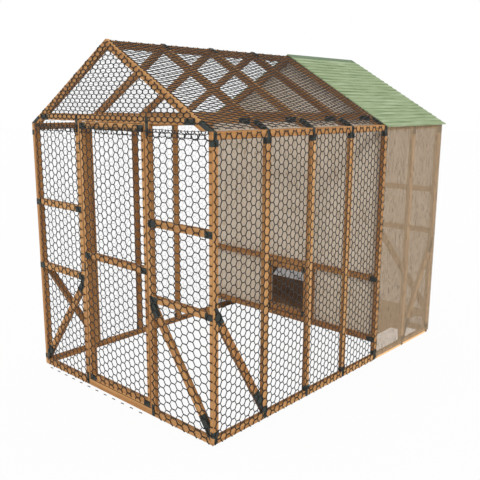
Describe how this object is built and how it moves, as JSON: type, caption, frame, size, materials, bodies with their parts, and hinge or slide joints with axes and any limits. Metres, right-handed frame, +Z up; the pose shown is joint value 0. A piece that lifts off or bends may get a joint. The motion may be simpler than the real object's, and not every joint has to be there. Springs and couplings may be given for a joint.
{
  "type": "chicken coop with run",
  "caption": "Walk-in netted run of bracketed timber with a hinged door, and a raised, sided and roofed coop at its back end.",
  "frame": {"origin": "on the ground at the middle of the outline", "axes": "+X across the front towards the right wall, +Y from the front door to the back wall, +Z up"},
  "size_m": [2.618, 3.809, 3.266],
  "materials": {
    "timber": "satin",
    "bracket_steel": "satin",
    "wire_netting": "satin",
    "siding": "matte",
    "roofing": "matte",
    "ridge_cap": "satin",
    "floor_board": "matte",
    "hinge_steel": "satin"
  },
  "bodies": {
    "root": {"side_sills": "timber", "end_sills": "timber", "posts_right": "timber", "posts_left": "timber", "door_posts": "timber", "wall_plates": "timber", "rails_front": "timber", "rails_back": "timber", "coop_wall_frame": "timber", "rafters_right": "timber", "rafters_left": "timber", "ties": "timber", "ridge_beam": "timber", "floor_joists": "timber", "braces_sides": "timber", "braces_ends": "timber", "brace_channels": "bracket_steel", "foot_brackets": "bracket_steel", "head_brackets": "bracket_steel", "door_post_straps": "bracket_steel", "rafter_shoes": "bracket_steel", "tie_plates": "bracket_steel", "ridge_saddles": "bracket_steel", "rail_brackets": "bracket_steel", "joist_hangers": "bracket_steel", "net_right": "wire_netting", "net_left": "wire_netting", "net_front_left": "wire_netting", "net_front_right": "wire_netting", "net_gable": "wire_netting", "net_roof_right": "wire_netting", "net_roof_left": "wire_netting", "net_hem": "wire_netting", "siding_right": "siding", "siding_left": "siding", "siding_back": "siding", "siding_coop_front": "siding", "roof_right": "roofing", "roof_left": "roofing", "coop_floor": "floor_board", "ridge_cap": "ridge_cap", "hinge_leaves_fixed": "hinge_steel", "bolt_keepers": "hinge_steel"},
    "front_door": {"front_door_stiles": "timber", "front_door_rails": "timber", "front_door_brackets": "bracket_steel", "front_door_net": "wire_netting", "front_door_hinges": "hinge_steel", "front_bolt_guide": "hinge_steel"},
    "front_bolt": {"front_bolt": "hinge_steel"},
    "back_door": {"back_door_stiles": "timber", "back_door_rails": "timber", "back_door_brackets": "bracket_steel", "back_door_siding": "siding", "back_door_hinges": "hinge_steel", "back_bolt_guide": "hinge_steel"},
    "back_bolt": {"back_bolt": "hinge_steel"},
    "pop_door": {"pop_door_frame": "timber", "pop_door_brackets": "bracket_steel", "pop_door_hinges": "hinge_steel"}
  },
  "joints": [
    {"name": "front_door_swing", "type": "hinge", "parent": "root", "child": "front_door", "pos_m": [-0.44785, -1.8615, 1.2], "axis": [0, 0, -1], "range_deg": [0, 110]},
    {"name": "front_bolt_slide", "type": "slide", "parent": "front_door", "child": "front_bolt", "axis": [1, 0, 0], "range_m": [0, 0.034]},
    {"name": "back_door_swing", "type": "hinge", "parent": "root", "child": "back_door", "pos_m": [-0.44785, 1.8735, 1.2], "axis": [0, 0, 1], "range_deg": [0, 110]},
    {"name": "back_bolt_slide", "type": "slide", "parent": "back_door", "child": "back_bolt", "axis": [1, 0, 0], "range_m": [0, 0.034]},
    {"name": "pop_door_swing", "type": "hinge", "parent": "root", "child": "pop_door", "pos_m": [-0.2775, 0.5945, 0.575], "axis": [0, 0, -1], "range_deg": [0, 100]}
  ]
}
